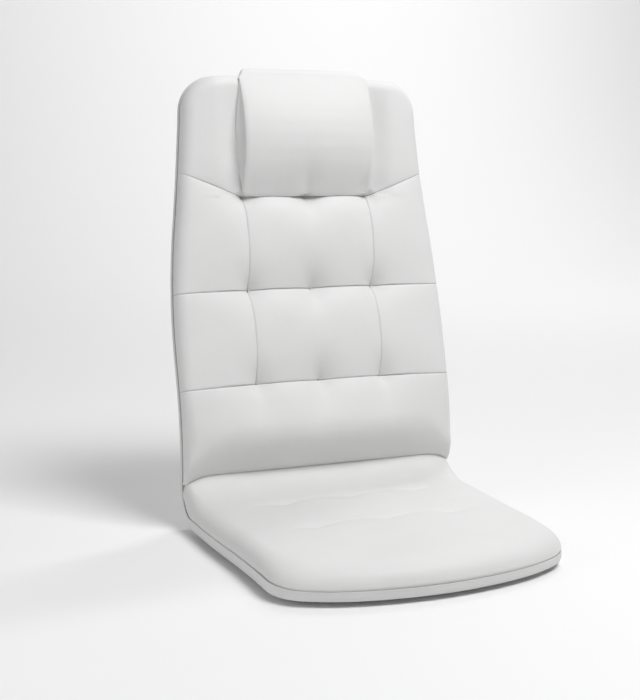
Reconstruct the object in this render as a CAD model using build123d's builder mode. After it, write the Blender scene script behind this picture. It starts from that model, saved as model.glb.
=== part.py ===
"""High-back upholstered chair body with a counterweighted headrest pillow.

One bent plywood shell carries a seat cushion and a tufted back cushion. Its rear, its underside and
its edges are wrapped in a leather outer cover. A headrest pillow hangs in front of the back on a strap
that runs over the top edge to a weighted pouch behind. A board under the seat takes the chair's base.

Millimetres. +Z is up, the sitter faces -Y and X is the width. The origin is the centre of the four
base bolts, on the underside of the seat board.
"""

import os

from build123d import *

# ---- driving dimensions -------------------------------------------------------------------------
# Seat board, which carries the base
BOARD_W, BOARD_D, BOARD_T = 300, 370, 12
BOARD_CORNER_R = 24
BOLT_X, BOLT_Y = 150, 200
BOLT_MINOR_R = 3.4
NUT_BARREL_R, NUT_FLANGE_R, NUT_FLANGE_T = 5, 11, 1.6
SCREW_X, SCREW_Y = 240, 150
SCREW_R, SCREW_HEAD_R, SCREW_LENGTH = 2.2, 4.4, 20

# Plywood shell: the curve of its cushion-side face, from the seat's front to the top of the back
PLY_T = 10.5
PLY_TOP = BOARD_T + PLY_T
SEAT_FRONT_Y = -259
BEND_Y, BEND_R, BEND_DEG = 170, 50, 95
LUMBAR_R, LUMBAR_DEG = 483, 20.8
UPPER_R, UPPER_DEG = 2136, 14.1

# Outline: half of it in plan, from the middle of the seat's front, then half of it from the front
NOSE_R, NOSE_DEG, CHEEK_R, CHEEK_DEG, CORNER_R, CORNER_DEG = 537, 14, 287, 16, 70, 60
FLANK_L, FLARE_R, FLARE_DEG = 10, 2100, 4.15
BACK_HALF_W, TAPER_START_Z = 250, 290
TAPER_IN_R, TAPER_IN_DEG, TAPER_OUT_R, TAPER_OUT_DEG = 1609, 7.5, 2779, 4
SHOULDER_R, SHOULDER_DEG, CROWN_RISE = 62, 82.5, 5

# Layers
LEATHER_T = 1.2
REAR_FOAM_T = 2.5
SEAT_PAD_T, BACK_PAD_T = 38, 26
CREASE_Y, CREASE_Z = 207, 85
OUTER_T = REAR_FOAM_T + LEATHER_T

# Tufts: their columns, and their rows as lengths along the plywood's face from the end of the bend
TUFT_COLUMNS = (-115, 0, 115)
BACK_TUFT_ROWS = (160, 318, 478)
SEAT_TUFT_ROWS = (-54, 92)
TUFT_DEPTH, TUFT_MOUTH_R, TUFT_FLOOR_R = 12, 15, 3
CORD_R, CORD_HOLE_R = 1, 2
TOGGLE_R, TOGGLE_T, TOGGLE_SEAT_R, TOGGLE_SEAT_T = 8, 2.6, 9, 3

# Headrest: half the pillow's front face in side view, then the strap, the pouch and its weight
PILLOW_HALF_W, PILLOW_FOOT_Z, PILLOW_HEAD_Z, PILLOW_EDGE_R = 118, 548, 752, 9
PILLOW_FOOT_Y, PILLOW_LOW_Y, PILLOW_BELLY_Y, PILLOW_HIGH_Y, PILLOW_HEAD_Y = 260, 254, 248, 257, 284
PILLOW_LOW_Z, PILLOW_BELLY_Z, PILLOW_HIGH_Z, PILLOW_BEHIND_Y = 590, 640, 692, 330
GAP = 0.3
STRAP_W, STRAP_T, STRAP_TOP_Z, STRAP_TOP_R = 230, 2, 767, 10
STRAP_FRONT_Z, STRAP_SWELL_Z, STRAP_REAR_Z = 690, 742, 655
POUCH_W, POUCH_H, POUCH_T, POUCH_CORNER_R, POUCH_RUN = 216, 92, 16, 10, 622
WEIGHT_W, WEIGHT_H, WEIGHT_T, WEIGHT_R = 140, 36, 8, 3

# Zips
ZIP_SLOT, ZIP_TAPE_W, ZIP_TAPE_T, COIL_W, COIL_T = 7, 26, 0.8, 4.6, 1.1
REAR_ZIP_L, REAR_ZIP_RUN = 420, 62
POUCH_ZIP_L, POUCH_ZIP_UP = 176, 22
SLIDER_W, SLIDER_H, SLIDER_T = 11, 9, 2.2
LUG_W, LUG_H, LUG_OUT, LUG_UP = 2.4, 4.4, 3.2, 1
PIN_R, PIN_HOLE_R, PIN_L, PULL_T = 0.9, 0.95, 7, 1.4
ARM_W, ARM_L, PULL_W, PULL_L = 2, 5.4, 7, 22

REACH = 1200  # longer than the object, for cutting through all of it


# ---- the plywood's curve and what is parallel to it ---------------------------------------------
def face_line(gap):
    """Draws the curve that runs gap mm in front of the plywood's cushion-side face."""
    seat = Line((SEAT_FRONT_Y - 40, PLY_TOP + gap), (BEND_Y, PLY_TOP + gap))
    bend = JernArc(seat @ 1, seat % 1, BEND_R - gap, BEND_DEG)
    lumbar = JernArc(bend @ 1, bend % 1, LUMBAR_R + gap, -LUMBAR_DEG)
    upper = JernArc(lumbar @ 1, lumbar % 1, UPPER_R - gap, UPPER_DEG)
    return seat, upper


def layer(near, far):
    """A slab that follows the plywood's curve, from near to far mm in front of its face."""
    with BuildPart() as slab:
        with BuildSketch(Plane.YZ):
            with BuildLine():
                seat_a, upper_a = face_line(near)
                seat_b, upper_b = face_line(far)
                Line(seat_a @ 0, seat_b @ 0)
                Line(upper_a @ 1, upper_b @ 1)
            make_face()
        extrude(amount=BACK_HALF_W + 50, both=True)
    return slab.part


with BuildLine() as ply_back:
    bend_end = JernArc((BEND_Y, PLY_TOP), (1, 0), BEND_R, BEND_DEG)
    lumbar_arc = JernArc(bend_end @ 1, bend_end % 1, LUMBAR_R, -LUMBAR_DEG)
    upper_arc = JernArc(lumbar_arc @ 1, lumbar_arc % 1, UPPER_R, UPPER_DEG)


def plane_on_back(run, gap=0):
    """The plane on the back, run mm above the bend: Z towards the sitter, and Y up the back."""
    if run <= lumbar_arc.length:
        arc, share = lumbar_arc, run / lumbar_arc.length
    else:
        arc, share = upper_arc, (run - lumbar_arc.length) / upper_arc.length
    point, along = arc @ share, arc % share
    normal = Vector(0, -along.Y, along.X)
    at = Vector(0, point.X, point.Y) + normal * gap
    return Plane(origin=at, x_dir=(1, 0, 0), z_dir=normal)


def plane_on_seat(y):
    """The plane on the seat's plywood face at y, with Z up."""
    return Plane(origin=(0, y, PLY_TOP))


def plane_behind(run, gap):
    """The plane behind the back, gap mm behind the plywood's face: Z to the rear, Y up the back."""
    front = plane_on_back(run, -gap)
    return Plane(origin=front.origin, x_dir=(-1, 0, 0), z_dir=-front.z_dir)


TUFT_PLANES = [plane_on_back(run) for run in BACK_TUFT_ROWS] + [plane_on_seat(y) for y in SEAT_TUFT_ROWS]
BACK_TUFTS, SEAT_TUFTS = TUFT_PLANES[:3], TUFT_PLANES[3:]


# ---- outlines -----------------------------------------------------------------------------------
def plan_prism(inset):
    """Everything inside the seat's outline in plan, which leaves the back alone."""
    with BuildPart() as prism:
        with BuildSketch():
            with BuildLine():
                nose = JernArc((0, SEAT_FRONT_Y + inset), (1, 0), NOSE_R - inset, NOSE_DEG)
                cheek = JernArc(nose @ 1, nose % 1, CHEEK_R - inset, CHEEK_DEG)
                corner = JernArc(cheek @ 1, cheek % 1, CORNER_R - inset, CORNER_DEG)
                flank = Line(corner @ 1, corner @ 1 + Vector(0, FLANK_L))
                flare_out = JernArc(flank @ 1, flank % 1, FLARE_R + inset, -FLARE_DEG)
                flare_back = JernArc(flare_out @ 1, flare_out % 1, FLARE_R - inset, FLARE_DEG)
                side = Line(flare_back @ 1, flare_back @ 1 + Vector(0, REACH))
                Line(side @ 1, (0, (side @ 1).Y))
                mirror(about=Plane.YZ)
            make_face()
        extrude(amount=REACH, both=True)
    return prism.part


def front_prism(inset):
    """Everything inside the back's outline from the front."""
    with BuildPart() as prism:
        with BuildSketch(Plane.XZ):
            with BuildLine():
                side = Line((BACK_HALF_W - inset, -REACH), (BACK_HALF_W - inset, TAPER_START_Z))
                taper_in = JernArc(side @ 1, side % 1, TAPER_IN_R - inset, TAPER_IN_DEG)
                taper_out = JernArc(taper_in @ 1, taper_in % 1, TAPER_OUT_R + inset, -TAPER_OUT_DEG)
                corner = JernArc(taper_out @ 1, taper_out % 1, SHOULDER_R - inset, SHOULDER_DEG)
                top = corner @ 1
                ThreePointArc(top, (0, top.Y + CROWN_RISE), (-top.X, top.Y))
                mirror(side, about=Plane.YZ)
                mirror(taper_in, about=Plane.YZ)
                mirror(taper_out, about=Plane.YZ)
                mirror(corner, about=Plane.YZ)
                Line((-BACK_HALF_W + inset, -REACH), (BACK_HALF_W - inset, -REACH))
            make_face()
        extrude(amount=REACH, both=True)
    return prism.part


def slab_in_outline(near, far, inset):
    """A slab along the plywood's curve, cut to the chair's outline less inset."""
    with BuildPart() as slab:
        add(layer(near, far))
        add(plan_prism(inset), mode=Mode.INTERSECT)
        add(front_prism(inset), mode=Mode.INTERSECT)
    return slab.part


# ---- seat board and its hardware ----------------------------------------------------------------
with BuildPart() as seat_board:
    with BuildSketch():
        RectangleRounded(BOARD_W, BOARD_D, BOARD_CORNER_R)
    extrude(amount=BOARD_T)
    with Locations(Plane.XY.offset(BOARD_T)):
        with GridLocations(BOLT_X, BOLT_Y, 2, 2):
            CounterBoreHole(NUT_BARREL_R, NUT_FLANGE_R, NUT_FLANGE_T)
    with Locations(Plane(origin=(0, 0, 0), x_dir=(1, 0, 0), z_dir=(0, 0, -1))):
        with GridLocations(SCREW_X, SCREW_Y, 2, 3):
            CounterSinkHole(SCREW_R, SCREW_HEAD_R)

with BuildPart() as t_nuts:
    with BuildSketch(Plane.XY.offset(BOARD_T - NUT_FLANGE_T)):
        with GridLocations(BOLT_X, BOLT_Y, 2, 2):
            Circle(NUT_FLANGE_R)
    extrude(amount=NUT_FLANGE_T)
    with BuildSketch():
        with GridLocations(BOLT_X, BOLT_Y, 2, 2):
            Circle(NUT_BARREL_R)
    extrude(amount=BOARD_T - NUT_FLANGE_T)
    with GridLocations(BOLT_X, BOLT_Y, 2, 2):
        Hole(BOLT_MINOR_R)

with BuildPart() as board_screws:
    head_h = SCREW_HEAD_R - SCREW_R  # a 90 degree countersink is as deep as it is wide
    with BuildSketch():
        with GridLocations(SCREW_X, SCREW_Y, 2, 3):
            Circle(SCREW_R)
    extrude(amount=SCREW_LENGTH)
    with GridLocations(SCREW_X, SCREW_Y, 2, 3):
        with Locations((0, 0, head_h / 2)):
            Cone(SCREW_HEAD_R, SCREW_R, head_h)
    with Locations(Plane(origin=(0, 0, 0), x_dir=(1, 0, 0), z_dir=(0, 0, -1))):
        with GridLocations(SCREW_X, SCREW_Y, 2, 3):
            Hole(1.5, depth=1.2)

# ---- plywood shell ------------------------------------------------------------------------------
with BuildPart() as plywood_shell:
    add(slab_in_outline(-PLY_T, 0, LEATHER_T))
    for plane in TUFT_PLANES:
        with Locations(plane):
            with Locations(*[(x, 0) for x in TUFT_COLUMNS]):
                Hole(CORD_HOLE_R, depth=PLY_T + 2)
    for plane in TUFT_PLANES:
        with Locations(plane.offset(TOGGLE_SEAT_T / 2 - PLY_T)):
            with Locations(*[(x, 0) for x in TUFT_COLUMNS]):
                Cylinder(TOGGLE_SEAT_R, TOGGLE_SEAT_T, mode=Mode.SUBTRACT)
    with Locations((0, 0, BOARD_T)):
        with GridLocations(BOLT_X, BOLT_Y, 2, 2):
            Cylinder(BOLT_MINOR_R + 1.1, 3 * PLY_T, mode=Mode.SUBTRACT)
    add(board_screws.part, mode=Mode.SUBTRACT)

# ---- outer cover: rear foam and leather ---------------------------------------------------------
rear_zip_plane = plane_behind(REAR_ZIP_RUN, PLY_T + OUTER_T)

with BuildPart() as rear_foam:
    add(slab_in_outline(-PLY_T - REAR_FOAM_T, -PLY_T, LEATHER_T))
    with BuildSketch(Plane.XY):
        RectangleRounded(BOARD_W + 4, BOARD_D + 4, BOARD_CORNER_R + 2)
    extrude(amount=BOARD_T, mode=Mode.SUBTRACT)
    with Locations(rear_zip_plane):
        Box(REAR_ZIP_L + 12, ZIP_TAPE_W + 4, 2 * OUTER_T - 0.6, mode=Mode.SUBTRACT)

with BuildPart() as outer_cover:
    add(slab_in_outline(-PLY_T - OUTER_T, 0, 0))
    add(slab_in_outline(-PLY_T - REAR_FOAM_T, 5, LEATHER_T), mode=Mode.SUBTRACT)
    with BuildSketch(Plane.XY):
        RectangleRounded(BOARD_W + 4, BOARD_D + 4, BOARD_CORNER_R + 2)
    extrude(amount=BOARD_T, mode=Mode.SUBTRACT)
    with Locations(rear_zip_plane):
        Box(REAR_ZIP_L - 4, ZIP_SLOT, 4, mode=Mode.SUBTRACT)


# ---- tufting ------------------------------------------------------------------------------------
def tuft_cords(planes, pad_t):
    """Twine from each toggle to the bottom of its tuft."""
    top = pad_t - TUFT_DEPTH - LEATHER_T
    low = TOGGLE_SEAT_T - PLY_T
    with BuildPart() as cords:
        for plane in planes:
            with Locations(plane.offset((top + low) / 2)):
                with Locations(*[(x, 0) for x in TUFT_COLUMNS]):
                    Cylinder(CORD_R, top - low)
    return cords.part


def tuft_toggles(planes):
    """Discs behind the plywood that the twine is tied to."""
    with BuildPart() as toggles:
        for plane in planes:
            with Locations(plane.offset(TOGGLE_SEAT_T - PLY_T - TOGGLE_T / 2)):
                with Locations(*[(x, 0) for x in TUFT_COLUMNS]):
                    Cylinder(TOGGLE_R, TOGGLE_T)
    return toggles.part


with BuildPart() as back_tuft_cords:
    add(tuft_cords(BACK_TUFTS, BACK_PAD_T))
with BuildPart() as seat_tuft_cords:
    add(tuft_cords(SEAT_TUFTS, SEAT_PAD_T))
with BuildPart() as back_tuft_toggles:
    add(tuft_toggles(BACK_TUFTS))
with BuildPart() as seat_tuft_toggles:
    add(tuft_toggles(SEAT_TUFTS))


# ---- cushions -----------------------------------------------------------------------------------
def crease_box(inset):
    """The corner that the seat cushion fills, under the end of the back cushion."""
    with BuildPart() as box:
        with BuildSketch(Plane.YZ):
            with Locations((CREASE_Y + inset, CREASE_Z + inset)):
                Rectangle(REACH, REACH, align=(Align.MAX, Align.MAX))
        extrude(amount=REACH / 2, both=True)
    return box.part


def tuft_cones(planes, pad_t, inset):
    """The hollows that the tufts pull into a cushion."""
    with BuildPart() as cones:
        for plane in planes:
            with Locations(plane.offset(pad_t - TUFT_DEPTH - inset + TUFT_DEPTH / 2 + 1)):
                with Locations(*[(x, 0) for x in TUFT_COLUMNS]):
                    Cone(TUFT_FLOOR_R, TUFT_MOUTH_R, TUFT_DEPTH + 2)
    return cones.part


def seat_pad(inset):
    """The seat cushion's outer shape less inset at its top and sides."""
    with BuildPart() as pad:
        add(slab_in_outline(0, SEAT_PAD_T - inset, inset))
        add(crease_box(-inset), mode=Mode.INTERSECT)
        add(tuft_cones(SEAT_TUFTS, SEAT_PAD_T, inset), mode=Mode.SUBTRACT)
    return pad.part


def back_pad(inset):
    """The back cushion's outer shape less inset at its front and sides."""
    with BuildPart() as pad:
        add(slab_in_outline(0, BACK_PAD_T - inset, inset))
        add(crease_box(inset), mode=Mode.SUBTRACT)
        add(tuft_cones(BACK_TUFTS, BACK_PAD_T, inset), mode=Mode.SUBTRACT)
    return pad.part


with BuildPart() as seat_foam:
    add(seat_pad(LEATHER_T))
    add(tuft_cords(SEAT_TUFTS, SEAT_PAD_T + 5), mode=Mode.SUBTRACT)
with BuildPart() as seat_cushion_cover:
    add(seat_pad(0))
    add(seat_pad(LEATHER_T), mode=Mode.SUBTRACT)
with BuildPart() as back_foam:
    add(back_pad(LEATHER_T))
    add(tuft_cords(BACK_TUFTS, BACK_PAD_T + 5), mode=Mode.SUBTRACT)
with BuildPart() as back_cushion_cover:
    add(back_pad(0))
    add(back_pad(LEATHER_T), mode=Mode.SUBTRACT)


# ---- headrest -----------------------------------------------------------------------------------
PILLOW_GAP = BACK_PAD_T + STRAP_T + 3 * GAP  # from the plywood's face to the pillow's rear


def pillow_block(inset, rear):
    """The pillow less inset on its front, ends and sides, and starting rear mm from the plywood."""
    foot_z = PILLOW_FOOT_Z + inset
    head_z = PILLOW_HEAD_Z - inset
    with BuildPart() as block:
        with BuildSketch(Plane.YZ):
            with BuildLine():
                front = Spline(
                    (PILLOW_FOOT_Y + inset, foot_z),
                    (PILLOW_LOW_Y + inset, PILLOW_LOW_Z),
                    (PILLOW_BELLY_Y + inset, PILLOW_BELLY_Z),
                    (PILLOW_HIGH_Y + inset, PILLOW_HIGH_Z),
                    (PILLOW_HEAD_Y + inset, head_z),
                )
                Polyline(front @ 0, (PILLOW_BEHIND_Y, foot_z), (PILLOW_BEHIND_Y, head_z), front @ 1)
            make_face()
        extrude(amount=PILLOW_HALF_W - inset, both=True)
        sides = block.edges().filter_by(lambda edge: edge.geom_type == GeomType.BSPLINE)
        fillet(sides, PILLOW_EDGE_R - inset)
        add(layer(-60, rear), mode=Mode.SUBTRACT)
    return block.part


with BuildPart() as pillow_cover:
    add(pillow_block(0, PILLOW_GAP))
    add(pillow_block(LEATHER_T, PILLOW_GAP - 1), mode=Mode.SUBTRACT)
with BuildPart() as pillow_foam:
    add(pillow_block(LEATHER_T, PILLOW_GAP + LEATHER_T))
with BuildPart() as pillow_backing:
    add(pillow_block(LEATHER_T, PILLOW_GAP))
    add(pillow_foam.part, mode=Mode.SUBTRACT)


def slab_between(z_low, z_high, half_w):
    """Everything between two heights and within half_w of the middle."""
    with BuildPart() as slab:
        with Locations((0, 0, (z_low + z_high) / 2)):
            Box(2 * half_w, 2 * REACH, z_high - z_low)
    return slab.part


with BuildPart() as headrest_strap:
    front_gap = BACK_PAD_T + GAP
    rear_gap = PLY_T + OUTER_T + GAP
    add(layer(front_gap, front_gap + STRAP_T))
    add(slab_between(STRAP_FRONT_Z, STRAP_SWELL_Z + 1, STRAP_W / 2), mode=Mode.INTERSECT)
    with BuildPart(mode=Mode.PRIVATE) as strap_rear:
        add(layer(-rear_gap - STRAP_T, -rear_gap))
        add(slab_between(STRAP_REAR_Z, STRAP_SWELL_Z + 1, STRAP_W / 2), mode=Mode.INTERSECT)
    add(strap_rear.part)
    with BuildPart(mode=Mode.PRIVATE) as strap_top:
        add(layer(-rear_gap - STRAP_T, front_gap + STRAP_T))
        add(slab_between(STRAP_SWELL_Z, STRAP_TOP_Z, STRAP_W / 2), mode=Mode.INTERSECT)
        crest = strap_top.edges().filter_by(Axis.X).group_by(Axis.Z)[-1]
        fillet(crest, STRAP_TOP_R)
        with BuildPart(mode=Mode.SUBTRACT):
            add(layer(-rear_gap, front_gap))
            add(slab_between(0, outer_cover.part.bounding_box().max.Z + GAP, REACH), mode=Mode.INTERSECT)
    add(strap_top.part)

# ---- pouch and counterweight --------------------------------------------------------------------
pouch_front = plane_behind(POUCH_RUN, PLY_T + OUTER_T + STRAP_T + 4 * GAP)
pouch_rear = pouch_front.offset(POUCH_T)
pouch_zip_plane = Plane(pouch_rear.origin + pouch_rear.y_dir * POUCH_ZIP_UP, pouch_rear.x_dir, pouch_rear.z_dir)


def pouch_block(inset):
    """The pouch less inset all round."""
    with BuildPart() as block:
        with BuildSketch(pouch_front.offset(inset)):
            RectangleRounded(POUCH_W - 2 * inset, POUCH_H - 2 * inset, POUCH_CORNER_R - inset)
        extrude(amount=POUCH_T - 2 * inset)
    return block.part


with BuildPart() as counterweight:
    with BuildSketch(pouch_front.offset((POUCH_T - WEIGHT_T) / 2)):
        with Locations((0, -POUCH_H / 2 + WEIGHT_H / 2 + 8)):
            RectangleRounded(WEIGHT_W, WEIGHT_H, WEIGHT_R)
    extrude(amount=WEIGHT_T)
with BuildPart() as pouch_cover:
    add(pouch_block(0))
    add(pouch_block(LEATHER_T), mode=Mode.SUBTRACT)
    with Locations(pouch_zip_plane):
        Box(POUCH_ZIP_L - 4, ZIP_SLOT, 4, mode=Mode.SUBTRACT)
with BuildPart() as pouch_padding:
    add(pouch_block(LEATHER_T))
    add(counterweight.part, mode=Mode.SUBTRACT)
    with Locations(pouch_zip_plane):
        Box(POUCH_ZIP_L + 8, ZIP_TAPE_W + 2, 6, mode=Mode.SUBTRACT)


# ---- zips ---------------------------------------------------------------------------------------
def zip_chain(surface, length):
    """Two tapes under the leather with the coil between them, in the slot through the leather."""
    tape_top = -LEATHER_T
    with BuildPart() as chain:
        with Locations(surface.offset(tape_top - ZIP_TAPE_T / 2)):
            Box(length, ZIP_TAPE_W, ZIP_TAPE_T)
        with Locations(surface.offset(tape_top + COIL_T / 2 - 0.05)):
            Box(length - 5, COIL_W, COIL_T)
    return chain.part


def zip_slider(surface, along):
    """The slider's plate on the leather, and the lug that its pull hangs from."""
    at = Plane(surface.origin + surface.x_dir * along, surface.x_dir, surface.z_dir)
    with BuildPart() as slider:
        with Locations(at.offset(GAP + SLIDER_T / 2)):
            Box(SLIDER_W, SLIDER_H, SLIDER_T)
        fillet(slider.edges().filter_by(lambda edge: abs(edge.tangent_at(0).dot(at.z_dir)) > 0.99), 2)
        with Locations(at.offset(GAP + SLIDER_T + LUG_OUT / 2 - 0.1)):
            with Locations((0, LUG_UP)):
                Box(LUG_W, LUG_H, LUG_OUT + 0.2)
        add(pin_at(at, PIN_HOLE_R, SLIDER_W), mode=Mode.SUBTRACT)
    return slider.part


def pin_at(at, radius, length):
    """A bar along the zip, through the middle of the slider's lug."""
    out = GAP + SLIDER_T + LUG_OUT / 2 + 0.1
    with BuildPart() as bar:
        with Locations(at.offset(out)):
            with Locations((0, LUG_UP)):
                Cylinder(radius, length, rotation=(0, 90, 0))
    return bar.part


def zip_pull(surface, along):
    """A tab on two arms that hangs from the slider's lug."""
    at = Plane(surface.origin + surface.x_dir * along, surface.x_dir, surface.z_dir)
    middle = at.offset(GAP + SLIDER_T + LUG_OUT / 2 + 0.1)
    with BuildPart() as pull:
        add(pin_at(at, PIN_R, PIN_L))
        with Locations(middle):
            for side in (-1, 1):
                with Locations((side * (PIN_L - ARM_W) / 2, LUG_UP + 1.2 - ARM_L / 2)):
                    Box(ARM_W, ARM_L, PULL_T)
            with Locations((0, LUG_UP + 1.2 - ARM_L + 0.2 - PULL_L / 2)):
                Box(PULL_W, PULL_L, PULL_T)
    return pull.part


with BuildPart() as rear_zip_chain:
    add(zip_chain(rear_zip_plane, REAR_ZIP_L))
with BuildPart() as rear_zip_slider:
    add(zip_slider(rear_zip_plane, REAR_ZIP_L / 2 - 12))
with BuildPart() as rear_zip_pull:
    add(zip_pull(rear_zip_plane, REAR_ZIP_L / 2 - 12))
with BuildPart() as pouch_zip_chain:
    add(zip_chain(pouch_zip_plane, POUCH_ZIP_L))
with BuildPart() as pouch_zip_slider:
    add(zip_slider(pouch_zip_plane, POUCH_ZIP_L / 2 - 12))
with BuildPart() as pouch_zip_pull:
    add(zip_pull(pouch_zip_plane, POUCH_ZIP_L / 2 - 12))

# ---- write --------------------------------------------------------------------------------------
os.makedirs("parts", exist_ok=True)
PIECES = {
    "seat_board": seat_board,
    "t_nuts": t_nuts,
    "board_screws": board_screws,
    "plywood_shell": plywood_shell,
    "rear_foam": rear_foam,
    "outer_cover": outer_cover,
    "back_tuft_cords": back_tuft_cords,
    "seat_tuft_cords": seat_tuft_cords,
    "back_tuft_toggles": back_tuft_toggles,
    "seat_tuft_toggles": seat_tuft_toggles,
    "seat_foam": seat_foam,
    "seat_cushion_cover": seat_cushion_cover,
    "back_foam": back_foam,
    "back_cushion_cover": back_cushion_cover,
    "headrest_strap": headrest_strap,
    "pillow_cover": pillow_cover,
    "pillow_foam": pillow_foam,
    "pillow_backing": pillow_backing,
    "pouch_cover": pouch_cover,
    "pouch_padding": pouch_padding,
    "counterweight": counterweight,
    "rear_zip_chain": rear_zip_chain,
    "rear_zip_slider": rear_zip_slider,
    "rear_zip_pull": rear_zip_pull,
    "pouch_zip_chain": pouch_zip_chain,
    "pouch_zip_slider": pouch_zip_slider,
    "pouch_zip_pull": pouch_zip_pull,
}
for name, piece in PIECES.items():
    piece.part.label = name
    export_step(piece.part, f"parts/{name}.step")
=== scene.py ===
"""Looks of an upholstered high-back chair body with a headrest pillow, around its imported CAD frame."""

import math

import bmesh
import bpy
import numpy as np
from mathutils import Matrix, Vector


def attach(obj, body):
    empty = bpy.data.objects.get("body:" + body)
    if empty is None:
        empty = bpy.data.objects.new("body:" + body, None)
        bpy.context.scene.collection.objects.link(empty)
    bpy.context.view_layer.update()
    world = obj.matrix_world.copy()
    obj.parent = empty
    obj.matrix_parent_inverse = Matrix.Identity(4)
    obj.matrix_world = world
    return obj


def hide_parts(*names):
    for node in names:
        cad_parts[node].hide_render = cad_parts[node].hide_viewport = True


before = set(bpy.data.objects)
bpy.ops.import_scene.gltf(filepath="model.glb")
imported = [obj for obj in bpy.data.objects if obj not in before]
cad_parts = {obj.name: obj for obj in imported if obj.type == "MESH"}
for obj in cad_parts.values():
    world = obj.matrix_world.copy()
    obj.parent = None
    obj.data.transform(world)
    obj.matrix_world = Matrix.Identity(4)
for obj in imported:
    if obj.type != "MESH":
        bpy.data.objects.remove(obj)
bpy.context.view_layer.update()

MM = 0.001
FAR = 99.0  # a distance from a seam that counts as none near


def add_object(name, data):
    obj = bpy.data.objects.new(name, data)
    bpy.context.collection.objects.link(obj)
    return obj


# ---- camera and light ----
EYE = (-0.8099, -1.7249, 0.6014)
LOOK = (0.38047, 0.91299, -0.14724)
LENS, SENSOR = 63.62, 36.0
CLIP_NEAR, CLIP_FAR = 0.05, 100

# a light's place, the point that it faces, its size and its power in watts
LIGHTS = {
    "light_key": ((0.75, -1.2, 2.75), (0, 0.05, 0.3), (1.4, 1.2), 67),
    "light_fill": ((-2.6, -0.5, 1.2), (0, 0.1, 0.4), (2.0, 2.0), 15),
    "light_wall": ((2.6, 2.2, 4.2), (2.2, 5.2, 1.0), (3.0, 1.0), 138),
}
WORLD_GREY, WORLD_STRENGTH = 0.95, 0.22


def add_camera():
    data = bpy.data.cameras.new("camera")
    data.lens = LENS
    data.sensor_width = SENSOR
    data.clip_start, data.clip_end = CLIP_NEAR, CLIP_FAR
    cam = add_object("camera", data)
    cam.location = EYE
    cam.rotation_euler = Vector(LOOK).to_track_quat("-Z", "Y").to_euler()
    bpy.context.scene.camera = cam


def add_area(name, at, towards, size, power):
    data = bpy.data.lights.new(name, "AREA")
    data.shape = "RECTANGLE"
    data.size, data.size_y = size
    data.energy = power
    lamp = add_object(name, data)
    lamp.location = at
    lamp.rotation_euler = (Vector(towards) - Vector(at)).to_track_quat("-Z", "Y").to_euler()


def add_world():
    world = bpy.data.worlds.new("studio")
    bpy.context.scene.world = world
    world.use_nodes = True
    sky = world.node_tree.nodes["Background"]
    sky.inputs[0].default_value = (WORLD_GREY, WORLD_GREY, WORLD_GREY, 1)
    sky.inputs[1].default_value = WORLD_STRENGTH


add_camera()
for light, placing in LIGHTS.items():
    add_area(light, *placing)
add_world()
bpy.context.scene.view_settings.view_transform = "Standard"


# ---- the plywood's curve ----
PLY_Z, BEND_Y, BEND_R, BEND_DEG = 22.5, 170.0, 50.0, 95.0
LUMBAR_R, LUMBAR_DEG, UPPER_R, UPPER_DEG = 483.0, 20.8, 2136.0, 14.1
BEND_LENGTH = BEND_R * math.radians(BEND_DEG)
SEAT_RUN = -BEND_LENGTH - BEND_Y  # length along the plywood where the seat's y is 0
TABLE_START_Y, TABLE_STEP, TABLE_SPARE = -340.0, 0.5, 40.0


def ply_table():
    """Length from the bend's end, y, z and heading along the plywood's cushion-side face."""
    rows = []
    seat_length = BEND_Y - TABLE_START_Y
    y, z, heading, length = TABLE_START_Y, PLY_Z, 0.0, -BEND_LENGTH - seat_length
    runs = [
        (seat_length, 0.0),
        (BEND_LENGTH, 1 / BEND_R),
        (LUMBAR_R * math.radians(LUMBAR_DEG), -1 / LUMBAR_R),
        (UPPER_R * math.radians(UPPER_DEG) + TABLE_SPARE, 1 / UPPER_R),
    ]
    for run, curvature in runs:
        steps = max(int(run / TABLE_STEP), 2)
        step = run / steps
        for _ in range(steps):
            rows.append((length, y, z, heading))
            middle = heading + curvature * step / 2
            y += math.cos(middle) * step
            z += math.sin(middle) * step
            heading += curvature * step
            length += step
    rows.append((length, y, z, heading))
    return np.array(rows).T


RUN, RUN_Y, RUN_Z, RUN_HEADING = ply_table()
UP = RUN > -1  # the back, where z tells the length


def at_run(run, x, gap):
    """Points gap mm in front of the plywood's face at a length along it."""
    y = np.interp(run, RUN, RUN_Y)
    z = np.interp(run, RUN, RUN_Z)
    heading = np.interp(run, RUN, RUN_HEADING)
    return np.stack([x, y - np.sin(heading) * gap, z + np.cos(heading) * gap], -1)


def run_of_z(z):
    return np.interp(z, RUN_Z[UP], RUN[UP])


def z_of_run(run):
    return np.interp(run, RUN, RUN_Z)


# ---- outline ----
FRONT_Y, HALF_WIDTH, UPRIGHT_Z = -259.0, 250.0, (100.0, 200.0, 290.0)
CORNER_ARCS = ((537, 14), (287, 16), (70, 60))  # radius and turn in degrees of each arc
CORNER_STRAIGHT = 10.0
WAIST_ARCS = ((2100, -4.15), (2100, 4.15))
BACK_ARCS = ((1609, 7.5), (2779, -4), (62, 82.5))
ARC_POINTS, CROWN_POINTS, CROWN_RISE = 40, 24, 5


def arc_points(start, heading_deg, radius, turn_deg):
    """Points along a tangent arc, and the heading where it ends. A positive turn goes left."""
    side = 1 if turn_deg > 0 else -1
    a0 = math.radians(heading_deg)
    turn = np.radians(np.linspace(0, turn_deg, ARC_POINTS))
    x = start[0] + side * radius * (np.sin(a0 + turn) - math.sin(a0))
    y = start[1] - side * radius * (np.cos(a0 + turn) - math.cos(a0))
    return np.stack([x, y], -1), heading_deg + turn_deg


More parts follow.
